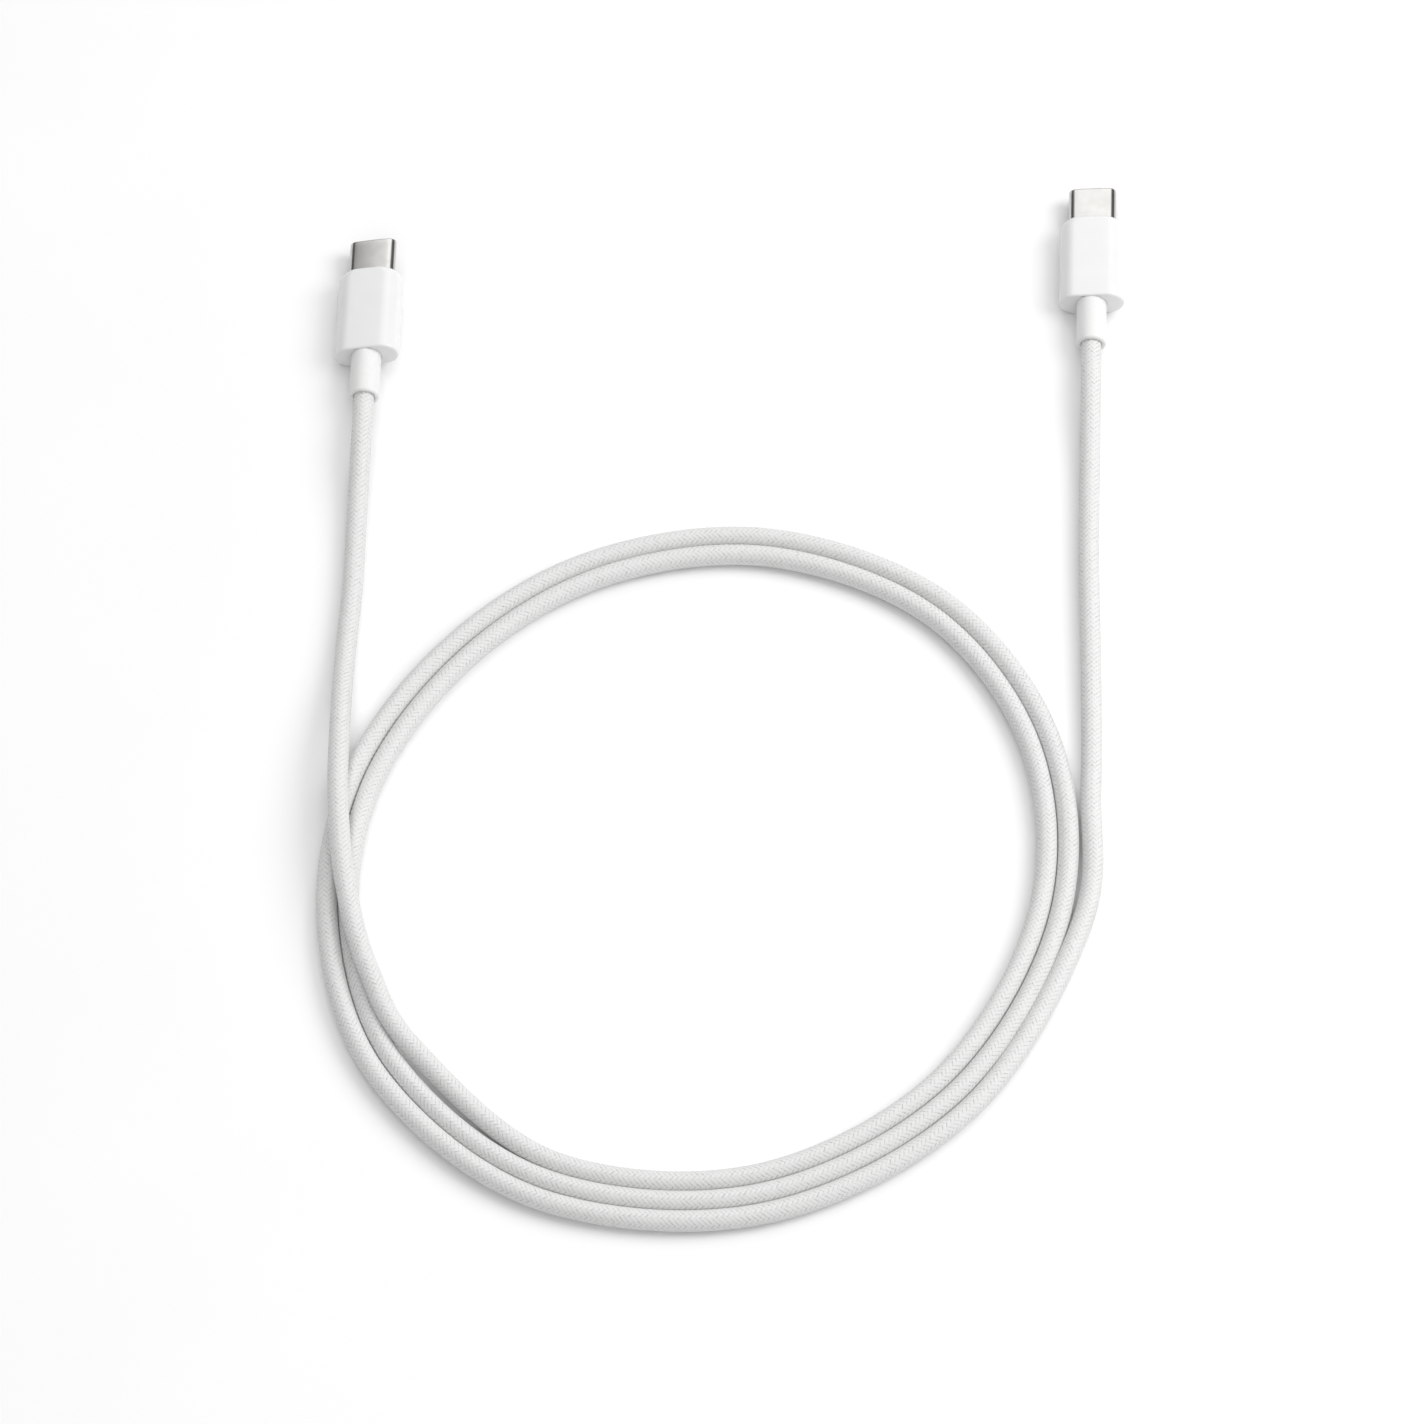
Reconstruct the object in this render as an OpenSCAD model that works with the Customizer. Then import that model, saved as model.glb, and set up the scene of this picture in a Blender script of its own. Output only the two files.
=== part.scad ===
// Braided charging cable, about 1.2 m long, with the same reversible 24-contact plug on both
// ends, laid out flat in two and a half loose turns.
// Frame: X runs from the left plug to the right one, Y points the way the plugs point, Z is up
// and Z = 0 is the table. Every piece of a plug is drawn along its own axis and then laid down:
// z = 0 at the back face of the casing, z > 0 towards the tip, y up and x across.

/* [Casing] */
// Width of the moulded casing of a plug
casing_w = 11.4; // [10.6:0.1:13]
// Thickness of the casing
casing_t = 5.8; // [5.6:0.1:7]
// Length of the casing, from its back face to its front face
casing_l = 17; // [16.4:0.1:22]
// Wall of the casing at its sides
casing_wall = 0.8; // [0.5:0.05:0.9]
// Rounding of the front corners, seen from above
corner_r = 2.2; // [0.5:0.1:2.4]
// Rounding of the front edge, seen from the side
nose_r = 0.9; // [0.2:0.1:1.1]

/* [Shell] */
// Width of the metal shell
shell_w = 8.25; // [8.2:0.01:8.3]
// Thickness of the metal shell
shell_t = 2.4; // [2.35:0.01:2.45]
// Length of the shell that stands out of the casing
shell_out = 6.65; // [6:0.05:7]
// Wall of the shell
shell_wall = 0.3; // [0.25:0.01:0.32]

/* [Sleeve] */
// Diameter of the sleeve behind the casing
sleeve_d = 5.2; // [4.8:0.1:5.5]
// Length of the sleeve behind the casing
sleeve_l = 8.5; // [5:0.5:14]

/* [Cord] */
// Diameter of the braided cord
cord_d = 3.6; // [3.2:0.1:3.8]
// Sides of the cord's tube
cord_sides = 8; // [8:1:12]

/* [Layout] */
// Distance from the axis of the left plug to the axis of the right one
plug_spacing = 125; // [124:0.5:126]
// How much further forward the right plug lies
plug_stagger = 15; // [14:0.5:16]
// Roll of the left plug about its own axis
left_roll = 13.5; // [0:0.5:20]
// Roll of the right plug about its own axis
right_roll = 6.5; // [0:0.5:20]

/* [Hidden] */
$fn = 48;
LEFT = 0;
RIGHT = 1;
tiny = 0.01;

// Where each plug lies: the middle of the two plugs is the origin
roll = [left_roll, right_roll];
plug_x = [-plug_spacing / 2, plug_spacing / 2];
plug_l = sleeve_l + casing_l + shell_out;
back_y = [for (side = [LEFT, RIGHT]) sleeve_l - (plug_l + plug_stagger) / 2 + side * plug_stagger];
axis_z = [for (side = [LEFT, RIGHT]) casing_t / 2 + (casing_w - casing_t) / 2 * sin(roll[side])];

// Inside the casing
front_wall = 1.2;
back_wall = 1;
mould_w = casing_w - 2 * casing_wall;
mould_t = casing_t - 2 * casing_wall;
flange_w = 8;
flange_l = 1;
mould_z = back_wall + flange_l;

// Shield cans around the board
can_w = 8.8;
can_t = 3.2;
can_wall = 0.2;
can_z = 3.2;
can_l = 10;
wire_gate_w = 5.4;
wire_gate_t = 2.6;

// Shell, and the insulator inside it
shell_z = 12;
tip_z = casing_l + shell_out;
bore_w = shell_w - 2 * shell_wall;
bore_t = shell_t - 2 * shell_wall;
housing_z = 12.2;
housing_end = tip_z - 0.35;
slot_w = 6.8;
slot_t = 0.8;
slot_z = tip_z - 6.2;

// Contacts: twelve springs on each side of the slot
contact_count = 12;
contact_pitch = 0.5;
contact_w = 0.2;
contact_sheet = 0.14;
channel_w = 0.26;
channel_top = 0.62;
channel_end = tip_z - 1.6;
contact_tail = 10.6;

// Latch: a flat plate with an arm along each side of the slot
latch_sheet = 0.2;
latch_w = 6;
arm_in = 3.45;
arm_out = 3.75;
latch_z = 12.4;
arm_end = tip_z - 2.1;

// Ground springs near the mouth
spring_w = 5;
spring_l = 2.6;
spring_sheet = 0.1;
spring_z = tip_z - 3.2;
finger_w = 0.5;
finger_z = tip_z - 1.35;
finger_x = [-1.8, 0, 1.8];

// Board and what is soldered on it
board_w = 8;
board_t = 0.6;
board_z = 4.2;
board_end = 12;
marker_size = [2.2, 0.55, 2.2];
marker_z = 6.6;
part_size = [0.5, 0.35, 1];
part_x = [-3.1, -2.1, 2.1, 3.1];
part_z = 6.4;

// End of the cord inside the plug
core_d = 2.9;
ring_d = 3.8;
ring_z = 0.2;
ring_l = 2.6;
braid_d = 3.3;
wire_d = 0.72;
wire_sides = 8;
wire_circle = 0.93;
wire_bend_z = 3.1;
wire_pad_x = 2.1;
wire_pad_z = 4.4;
wire_end = 5.6;

// The loop that the cord is wound on, seen from above, counterclockwise from the left
loop_points = [
    [-56, -125.5], [-47, -151], [-23.5, -169.5], [9, -170.5], [37.5, -152.5], [53, -121.5],
    [51.5, -90], [35, -65.5], [8.5, -55], [-18, -59.5], [-39, -75], [-53.5, -99]
];
loop_count = len(loop_points);
// The cord joins the loop at its third point and leaves it two turns and a sixth later
first_turn_point = 2;
last_turn_point = 28;
// Height of the cord's middle: on the table, and where it passes over two of its own turns
lying_z = cord_d / 2;
over_z = 1.5 * cord_d;

// From the left sleeve down to the table, then over the two turns and down inside them
left_arm = [
    [plug_x[LEFT], back_y[LEFT] - sleeve_l, axis_z[LEFT]],
    [plug_x[LEFT], back_y[LEFT] - sleeve_l - 10, axis_z[LEFT]],
    [-62.5, -47, 2.1],
    [-62.5, -61, lying_z],
    [-63, -75, lying_z + 0.4],
    [-63, -89, lying_z + 2.6],
    [-62.5, -104, over_z],
    [-60.5, -120, over_z],
    [-56, -136, over_z - 0.5],
    [-47.5, -150.5, lying_z + 1.2]
];

// Up the right side and into the right sleeve
right_arm = [
    [61.8, -123, lying_z],
    [63.2, -97, lying_z],
    [63, -73, lying_z],
    [62.5, -51, lying_z],
    [62.5, -34, 2.1],
    [plug_x[RIGHT], back_y[RIGHT] - sleeve_l - 10, axis_z[RIGHT]],
    [plug_x[RIGHT], back_y[RIGHT] - sleeve_l, axis_z[RIGHT]]
];

// Each turn lies one cord diameter outside the last, so the cord moves out by a twelfth of its
// diameter at every point of the loop
function loop_out(k) =
    let (
        along = loop_points[(k + 1) % loop_count] - loop_points[(k + loop_count - 1) % loop_count]
    )
    [along.y, -along.x] / norm(along);
function turn_point(i) =
    let (
        k = i % loop_count,
        at = loop_points[k] + loop_out(k) * cord_d * i / loop_count
    )
    [at.x, at.y, lying_z];
turn_points = [for (i = [first_turn_point : last_turn_point]) turn_point(i)];
route = concat(left_arm, turn_points, right_arm);

// A smooth curve through the route's points, with one more ring in the middle of a long span
long_span = 22;
function before(p, i) = i == 0 ? 2 * p[0] - p[1] : p[i - 1];
function after(p, i) = i > len(p) - 1 ? 2 * p[len(p) - 1] - p[len(p) - 2] : p[i];
function between(p, i, t) =
    let (a = before(p, i), b = p[i], c = p[i + 1], d = after(p, i + 2))
    (2 * b + (c - a) * t + (2 * a - 5 * b + 4 * c - d) * t * t
        + (3 * b - a - 3 * c + d) * t * t * t) / 2;
function steps(p, i) = norm(p[i + 1] - p[i]) > long_span ? 2 : 1;
function smooth(p) = concat(
    [for (i = [0 : len(p) - 2]) for (j = [0 : steps(p, i) - 1]) between(p, i, j / steps(p, i))],
    [p[len(p) - 1]]
);

// ---- Placing and shared shapes ----

// Lays a piece of a plug down where its plug lies
module lay(side) {
    translate([plug_x[side], back_y[side], axis_z[side]])
        rotate([0, -roll[side], 0])
            rotate([90, 0, 180])
                children();
}

// A flat shape with round ends, w wide and t thick
module round_ended(w, t) {
    square([w - t, t], center = true);
    for (end = [-1, 1])
        translate([end * (w - t) / 2, 0])
            circle(d = t);
}

// A bar of that shape from z = from to z = to
module bar(w, t, from, to) {
    translate([0, 0, from])
        linear_extrude(to - from)
            round_ended(w, t);
}

// A block centred across the plug, from z = from to z = to
module block(w, t, from, to) {
    translate([-w / 2, -t / 2, from])
        cube([w, t, to - from]);
}

// A rod along the plug's axis
module rod(d, from, to) {
    translate([0, 0, from])
        cylinder(d = d, h = to - from);
}

// A rectangle from z = 0 to z = l whose two far corners are rounded
module nose_outline(w, l, r) {
    translate([-w / 2, 0])
        square([w, l - r]);
    translate([-w / 2 + r, 0])
        square([w - 2 * r, l]);
    for (end = [-1, 1])
        translate([end * (w / 2 - r), l - r])
            circle(r = r);
}

// A round tube swept along a path: rings set across it and joined by walls. No stretch of the
// path may run along ref, which turns the rings.
module tube(path, d, sides, ref) {
    rings = len(path);
    ring_points = [
        for (i = [0 : rings - 1])
            let (
                way = path[min(i + 1, rings - 1)] - path[max(i - 1, 0)],
                side = cross(way, ref) / norm(cross(way, ref)),
                up = cross(side, way) / norm(way)
            )
            for (s = [0 : sides - 1])
                let (angle = (s + 0.5) * 360 / sides)
                path[i] + d / 2 * (cos(angle) * side + sin(angle) * up)
    ];
    first_end = [for (s = [sides - 1 : -1 : 0]) s];
    last_end = [for (s = [0 : sides - 1]) (rings - 1) * sides + s];
    walls = [
        for (i = [0 : rings - 2])
            for (s = [0 : sides - 1])
                let (here = i * sides, next = here + sides, t = (s + 1) % sides)
                for (face = [
                    [here + s, next + t, next + s],
                    [here + s, here + t, next + t]
                ])
                face
    ];
    polyhedron(points = ring_points, faces = concat([first_end, last_end], walls));
}

// ---- Pieces of a plug ----

// Moulded outer casing, with room for the inner mould, the shell and the sleeve
module casing() {
    color("white")
        difference() {
            intersection() {
                bar(casing_w, casing_t, 0, casing_l);
                rotate([90, 0, 0])
                    translate([0, 0, -casing_t])
                        linear_extrude(2 * casing_t)
                            nose_outline(casing_w, casing_l, corner_r);
                rotate([90, 0, 90])
                    translate([0, 0, -casing_w])
                        linear_extrude(2 * casing_w)
                            nose_outline(casing_t, casing_l, nose_r);
            }
            bar(mould_w, mould_t, back_wall, casing_l - front_wall);
            bar(shell_w, shell_t, casing_l - 2 * front_wall, casing_l + tiny);
            rod(sleeve_d, -tiny, back_wall + tiny);
        }
}

// Sleeve that keeps the cord from kinking, with a flange held inside the casing
module sleeve() {
    color("whitesmoke")
        difference() {
            union() {
                rod(sleeve_d, -sleeve_l, back_wall);
                intersection() {
                    block(flange_w, mould_t, back_wall, mould_z);
                    bar(mould_w, mould_t, back_wall, mould_z);
                }
            }
            rod(cord_d, -sleeve_l - tiny, tiny);
            rod(ring_d, 0, mould_z + tiny);
        }
}

// Hard inner mould around the shield cans
module inner_mould() {
    color("gainsboro")
        difference() {
            bar(mould_w, mould_t, mould_z, casing_l - front_wall);
            block(can_w, can_t, can_z, can_z + can_l);
            bar(shell_w, shell_t, can_z + can_l - tiny, casing_l);
            rod(ring_d, mould_z - tiny, can_z + tiny);
            block(wire_gate_w, wire_gate_t, ring_z + ring_l, can_z + tiny);
        }
}

// Drawn metal shell that enters the socket of the phone or the charger
module shell() {
    color("silver")
        difference() {
            bar(shell_w, shell_t, shell_z, tip_z);
            bar(bore_w, bore_t, shell_z - tiny, tip_z + tiny);
        }
}

// Black insulator inside the shell: it holds the contacts and takes the socket's tongue
module front_housing() {
    color("dimgray")
        difference() {
            bar(bore_w, bore_t, housing_z, housing_end);
            block(slot_w, slot_t, slot_z, tip_z);
            for (i = [0 : contact_count - 1])
                translate([contact_x(i), 0, 0])
                    block(channel_w, 2 * channel_top, housing_z - tiny, channel_end);
            block(latch_w + 0.1, latch_sheet + 0.04, housing_z - tiny, slot_z);
            block(2 * bore_w, latch_sheet + 0.04, slot_z - 1, arm_end + 0.1);
            for (face = [-1, 1]) {
                translate([0, face * (bore_t / 2 - spring_sheet / 2), 0])
                    block(spring_w + 0.1, spring_sheet + 0.04, spring_z - 0.05, spring_z + spring_l + 0.05);
                for (x = finger_x)
                    translate([x, face * bore_t / 4, 0])
                        block(finger_w + 0.1, bore_t / 2, finger_z - 0.05, finger_z + finger_w + 0.05);
            }
        }
}

// Places of the contacts across the plug
function contact_x(i) = (i - (contact_count - 1) / 2) * contact_pitch;

// Side view of one contact: soldered tail, bend, long spring and the bump that touches
module contact_profile() {
    low = board_t / 2;
    run = slot_t / 2 + 0.02;
    bump = tip_z - 3;
    polygon([
        [contact_tail, low], [board_end - 0.4, low], [board_end + 0.1, run], [bump - 1.6, run],
        [bump, run - 0.18], [bump + 0.9, run + 0.04], [bump + 0.9, run + 0.04 + contact_sheet],
        [bump, run - 0.18 + contact_sheet], [bump - 1.6, run + contact_sheet],
        [board_end, run + contact_sheet], [board_end - 0.5, low + contact_sheet],
        [contact_tail, low + contact_sheet]
    ]);
}

// One row of twelve contacts, above (face = 1) or below (face = -1) the slot
module contacts(face) {
    color("gold")
        for (i = [0 : contact_count - 1])
            translate([contact_x(i) - contact_w / 2, 0, 0])
                mirror([0, face < 0 ? 1 : 0, 0])
                    mirror([1, 0, 0])
                        rotate([0, -90, 0])
                            linear_extrude(contact_w)
                                contact_profile();
}

// Sprung steel plate with two arms that click into the notches of the socket's tongue
module latch() {
    color("lightgray") {
        block(latch_w, latch_sheet, latch_z, slot_z - 0.1);
        block(2 * arm_out, latch_sheet, slot_z - 0.9, slot_z - 0.1);
        for (end = [-1, 1]) {
            translate([end * (arm_in + arm_out) / 2, 0, 0])
                block(arm_out - arm_in, latch_sheet, slot_z - 0.9, arm_end);
            translate([end * (arm_in - 0.05), 0, 0])
                block(0.3, latch_sheet, arm_end - 0.6, arm_end);
        }
    }
}

// Two thin plates, above and below the slot, whose fingers ground the socket's tongue
module ground_springs() {
    color("lightgray")
        for (face = [-1, 1]) {
            translate([0, face * (bore_t / 2 - spring_sheet / 2), 0])
                block(spring_w, spring_sheet, spring_z, spring_z + spring_l);
            for (x = finger_x)
                translate([x, face * (slot_t / 2 + bore_t / 2 - 0.1) / 2, 0])
                    block(finger_w, bore_t / 2 - slot_t / 2 - 0.04, finger_z, finger_z + finger_w);
        }
}

// Small circuit board between the contacts and the wires
module paddle_board() {
    color("seagreen")
        block(board_w, board_t, board_z, board_end);
}

// Chip that tells the charger what current the cable carries
module marker_chip() {
    color("black")
        translate([-marker_size.x / 2, board_t / 2, marker_z])
            cube(marker_size);
}

// Resistors and capacitors on the board
module chip_parts() {
    color("peru")
        for (x = part_x)
            translate([x - part_size.x / 2, board_t / 2, part_z])
                cube(part_size);
}

// Half of the stamped can that screens the board, above (face = 1) or below it (face = -1)
module shield_can(face) {
    color("silver")
        mirror([0, face < 0 ? 1 : 0, 0])
            intersection() {
                difference() {
                    block(can_w, can_t, can_z, can_z + can_l);
                    block(can_w - 2 * can_wall, can_t - 2 * can_wall, can_z + can_wall, casing_l);
                    block(wire_gate_w, wire_gate_t, can_z - tiny, can_z + 2 * can_wall);
                }
                translate([-can_w, 0, 0])
                    cube([2 * can_w, can_t, casing_l]);
            }
}

// Pressed ring that clamps the folded screen of the cord
module crimp_ring() {
    color("silver")
        difference() {
            rod(ring_d, ring_z, ring_z + ring_l);
            rod(braid_d, ring_z - tiny, ring_z + ring_l + tiny);
        }
}

// End of the cord's own wire screen, under the ring
module shield_braid() {
    color("darkgray")
        difference() {
            rod(braid_d, ring_z, ring_z + ring_l);
            rod(core_d, ring_z - tiny, ring_z + ring_l + tiny);
        }
}

// End of the cord's jacket, inside the sleeve
module jacket_end() {
    color("white")
        difference() {
            rod(cord_d, -sleeve_l, 0);
            rod(core_d, -sleeve_l - tiny, tiny);
        }
}

// Six insulated wires that fan out from the cord to the two faces of the board
module wires() {
    color("firebrick")
        for (face = [-1, 1])
            for (lane = [-1, 0, 1]) {
                angle = face * (90 - lane * 60);
                start = wire_circle * [cos(angle), sin(angle)];
                pad = [lane * wire_pad_x, face * (board_t + wire_d + 0.04) / 2];
                tube([
                    [start.x, start.y, -sleeve_l], [start.x, start.y, wire_bend_z],
                    [pad.x, pad.y, wire_pad_z], [pad.x, pad.y, wire_end]
                ], wire_d, wire_sides, [1, 0, 0]);
            }
}

// ---- Cord ----

// The round braided cord, from the mouth of one sleeve to the mouth of the other
module cord() {
    color("white")
        tube(smooth(route), cord_d, cord_sides, [0, 0, 1]);
}

lay(LEFT) shell();  // left_shell
lay(LEFT) front_housing();  // left_front_housing
lay(LEFT) contacts(1);  // left_upper_contacts
lay(LEFT) contacts(-1);  // left_lower_contacts
lay(LEFT) latch();  // left_latch
lay(LEFT) ground_springs();  // left_ground_springs
lay(LEFT) paddle_board();  // left_paddle_board
lay(LEFT) chip_parts();  // left_chip_parts
lay(LEFT) shield_can(1);  // left_upper_shield_can
lay(LEFT) shield_can(-1);  // left_lower_shield_can
lay(LEFT) crimp_ring();  // left_crimp_ring
lay(LEFT) shield_braid();  // left_shield_braid
lay(LEFT) wires();  // left_wires
lay(LEFT) jacket_end();  // left_jacket_end
lay(LEFT) inner_mould();  // left_inner_mould
lay(LEFT) casing();  // left_casing
lay(LEFT) sleeve();  // left_sleeve
lay(RIGHT) shell();  // right_shell
lay(RIGHT) front_housing();  // right_front_housing
lay(RIGHT) contacts(1);  // right_upper_contacts
lay(RIGHT) contacts(-1);  // right_lower_contacts
lay(RIGHT) latch();  // right_latch
lay(RIGHT) ground_springs();  // right_ground_springs
lay(RIGHT) paddle_board();  // right_paddle_board
lay(RIGHT) marker_chip();  // right_marker_chip
lay(RIGHT) chip_parts();  // right_chip_parts
lay(RIGHT) shield_can(1);  // right_upper_shield_can
lay(RIGHT) shield_can(-1);  // right_lower_shield_can
lay(RIGHT) crimp_ring();  // right_crimp_ring
lay(RIGHT) shield_braid();  // right_shield_braid
lay(RIGHT) wires();  // right_wires
lay(RIGHT) jacket_end();  // right_jacket_end
lay(RIGHT) inner_mould();  // right_inner_mould
lay(RIGHT) casing();  // right_casing
lay(RIGHT) sleeve();  // right_sleeve
cord();
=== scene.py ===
"""Looks of a braided charging cable with a plug on each end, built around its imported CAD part.

Metres, in the part's own frame: X runs from the left plug to the right one, Y is the way the
plugs point, Z is up and the table is Z = 0. Sizes of pieces are written in millimetres.
"""
import math

import bpy
from mathutils import Matrix, Vector


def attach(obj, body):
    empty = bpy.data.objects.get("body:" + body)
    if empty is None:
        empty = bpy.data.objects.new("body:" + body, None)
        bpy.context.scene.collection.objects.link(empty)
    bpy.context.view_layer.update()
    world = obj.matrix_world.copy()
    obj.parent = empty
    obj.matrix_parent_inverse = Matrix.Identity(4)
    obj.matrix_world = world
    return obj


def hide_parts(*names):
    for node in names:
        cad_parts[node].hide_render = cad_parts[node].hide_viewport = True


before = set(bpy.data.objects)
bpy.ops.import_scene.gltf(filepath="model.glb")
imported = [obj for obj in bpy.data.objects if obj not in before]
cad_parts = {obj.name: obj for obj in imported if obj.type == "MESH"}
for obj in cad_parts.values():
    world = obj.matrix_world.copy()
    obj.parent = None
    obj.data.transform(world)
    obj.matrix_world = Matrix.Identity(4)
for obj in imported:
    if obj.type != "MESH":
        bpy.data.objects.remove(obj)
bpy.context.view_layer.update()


# ---- Camera ----
# A long lens 1.4 m away, 59 degrees above the table and turned 1.8 degrees off the plugs' own
# direction, so that both plugs and all the turns of cord stand in one square view.

VIEW_DISTANCE = 1.4
VIEW_HEIGHT = 59
VIEW_TURN = 1.8
VIEW_MIDDLE = (-0.00073, -0.0826, 0)

camera_data = bpy.data.cameras.new("camera")
camera_data.lens = 209.9
camera_data.sensor_width = 36
camera_data.clip_start = 0.05
camera_data.clip_end = 20
camera = bpy.data.objects.new("camera", camera_data)
bpy.context.scene.collection.objects.link(camera)
bpy.context.scene.camera = camera
swing = Matrix.Rotation(math.radians(VIEW_TURN), 4, "Z")
tilt = Matrix.Rotation(math.radians(90 - VIEW_HEIGHT), 4, "X")
step_back = Matrix.Translation((0, 0, VIEW_DISTANCE))
camera.matrix_world = Matrix.Translation(VIEW_MIDDLE) @ swing @ tilt @ step_back


# ---- Cord: the jacket under the braid ----
# One round lead, 3.6 mm thick over its braid and about 1.16 m long, laid in two and a sixth
# loose turns. Its jacket is extruded white elastomer, which shows only in the gaps of the braid.

MM = 0.001
CORD_D = 3.6
JACKET_R = 1.56
# Of the left and the right plug: its place across, its casing's back, and its axis over the table
PLUG_X = (-62.5, 62.5)
BACK_Y = (-15.075, -0.075)
AXIS_Z = (3.5536, 3.2170)
SLEEVE_L = 8.5
MOUTHS = [(PLUG_X[side], BACK_Y[side] - SLEEVE_L, AXIS_Z[side]) for side in (0, 1)]

# The loop that the cord is wound on, counterclockwise from the left
LOOP = (
    (-56, -125.5), (-47, -151), (-23.5, -169.5), (9, -170.5), (37.5, -152.5), (53, -121.5),
    (51.5, -90), (35, -65.5), (8.5, -55), (-18, -59.5), (-39, -75), (-53.5, -99),
)
# From the left sleeve down to the table, then over two turns and down inside them
LEFT_ARM = (
    MOUTHS[0], (-62.5, -33.575, AXIS_Z[0]), (-62.5, -47, 2.1), (-62.5, -61, 1.8),
    (-63, -75, 2.2), (-63, -89, 4.4), (-62.5, -104, 5.4), (-60.5, -120, 5.4),
    (-56, -136, 4.9), (-47.5, -150.5, 3.0),
)
# Up the right side and into the right sleeve
RIGHT_ARM = (
    (61.8, -123, 1.8), (63.2, -97, 1.8), (63, -73, 1.8), (62.5, -51, 1.8), (62.5, -34, 2.1),
    (62.5, -18.575, AXIS_Z[1]), MOUTHS[1],
)
# The turns run from the third point of the loop, through twice round it, to two points further on
FIRST_STEP = 2
LAST_STEP = 28
LINE_STEPS = 26


def turn_point(step):
    """A point of the turns: each turn lies one cord outside the last, flat on the table."""
    count = len(LOOP)
    at = Vector(LOOP[step % count])
    along = Vector(LOOP[(step + 1) % count]) - Vector(LOOP[(step - 1) % count])
    outward = Vector((along.y, -along.x)).normalized()
    place = at + outward * CORD_D * step / count
    return (place.x, place.y, CORD_D / 2)


def smooth_line(points, steps):
    """A smooth curve through the points, with this many steps from each one to the next."""
    corners = [Vector(p) for p in points]
    corners = [2 * corners[0] - corners[1]] + corners + [2 * corners[-1] - corners[-2]]
    line = []
    for a, b, c, d in zip(corners, corners[1:], corners[2:], corners[3:]):
        for i in range(steps):
            t = i / steps
            bend = (2 * a - 5 * b + 4 * c - d) * t * t + (3 * b - a - 3 * c + d) * t ** 3
            line.append((2 * b + (c - a) * t + bend) / 2)
    return line + [corners[-2]]


turns = [turn_point(step) for step in range(FIRST_STEP, LAST_STEP + 1)]
route = [*LEFT_ARM, *turns, *RIGHT_ARM]
# Where the smooth curve would dip into the table, it lies on it instead
cord_line = [
    Vector((p.x, p.y, max(p.z, CORD_D / 2))) * MM for p in smooth_line(route, LINE_STEPS)
]


def cord_curve(name):
    """A curve of one open spline along the middle of the cord."""
    data = bpy.data.curves.new(name, "CURVE")
    data.dimensions = "3D"
    data.twist_mode = "Z_UP"
    spline = data.splines.new("POLY")
    spline.points.add(len(cord_line) - 1)
    for point, place in zip(spline.points, cord_line):
        point.co = (*place, 1)
    piece = bpy.data.objects.new(name, data)
    bpy.context.scene.collection.objects.link(piece)
    return piece


def linear(hex_colour):
    """An sRGB hex colour as the linear values that a shader takes."""
    shares = [int(hex_colour[i:i + 2], 16) / 255 for i in (1, 3, 5)]
    return (*[c / 12.92 if c < 0.04045 else ((c + 0.055) / 1.055) ** 2.4 for c in shares], 1)


def add(tree, kind, links=(), **settings):
    """Adds a node. links gives each input, by its name or number, a value or another's output."""
    made = tree.nodes.new(kind)
    for name, value in settings.items():
        setattr(made, name, value)
    for socket, value in dict(links).items():
        if isinstance(value, bpy.types.NodeSocket):
            tree.links.new(value, made.inputs[socket])
        else:
            made.inputs[socket].default_value = value
    return made


def finish_of(name, colour, values):
    """A new material of one shader, with its colour and its plain values."""
    material = bpy.data.materials.new(name)
    material.use_nodes = True
    shader = material.node_tree.nodes["Principled BSDF"]
    shader.inputs["Base Color"].default_value = linear(colour)
    for socket, value in values.items():
        shader.inputs[socket].default_value = value
    return material, material.node_tree, shader


def cloud(tree, grain_mm, detail=2.0, stretch=(1, 1, 1)):
    """Soft noise in the piece's own place, whose grain is this many millimetres across."""
    place = add(tree, "ShaderNodeTexCoord").outputs["Object"]
    if stretch != (1, 1, 1):
        place = add(tree, "ShaderNodeMapping", {"Vector": place, "Scale": stretch}).outputs[0]
    noise = {"Vector": place, "Scale": 1 / (grain_mm * MM), "Detail": detail}
    return add(tree, "ShaderNodeTexNoise", noise).outputs[0]


def shade(tree, shader, pattern, first, last, low=0.3, high=0.7):
    """Colours the shader from the first colour to the last as the pattern goes from low to high."""
    share = add(tree, "ShaderNodeMapRange", {0: pattern, 1: low, 2: high}).outputs[0]
    mix = add(tree, "ShaderNodeMix", {0: share}, data_type="RGBA")
    mix.inputs[6].default_value = linear(first)
    mix.inputs[7].default_value = linear(last)
    tree.links.new(mix.outputs[2], shader.inputs["Base Color"])


def relief(tree, shader, pattern, depth_mm, strength=1.0):
    """Raises the surface where the pattern is high, by up to this many millimetres."""
    height = {"Height": pattern, "Distance": depth_mm * MM, "Strength": strength}
    bump = add(tree, "ShaderNodeBump", height).outputs[0]
    tree.links.new(bump, shader.inputs["Normal"])


# Thermoplastic elastomer, extruded: a milky white with a dull, slightly greasy surface
jacket_white, tree, shader = finish_of(
    "white_elastomer_extruded", "#E4E4E2", {"Roughness": 0.55, "IOR": 1.48}
)
drawn_marks = cloud(tree, 0.5)
shade(tree, shader, drawn_marks, "#DEDEDC", "#E8E8E6")
relief(tree, shader, drawn_marks, 0.01)

cord = cord_curve("cord_jacket")
cord.data.bevel_depth = JACKET_R * MM
cord.data.bevel_resolution = 2
cord.data.materials.append(jacket_white)


# ---- Cord: the braid ----
# A seamless sleeve of 24 flat yarns, 12 laid one way round and 12 the other, each over two and
# under two, so that the floats stand in columns of slanted stitches along the cord. It is
# braided straight onto the jacket from white polyester and is held at both ends by the crimps.

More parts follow.
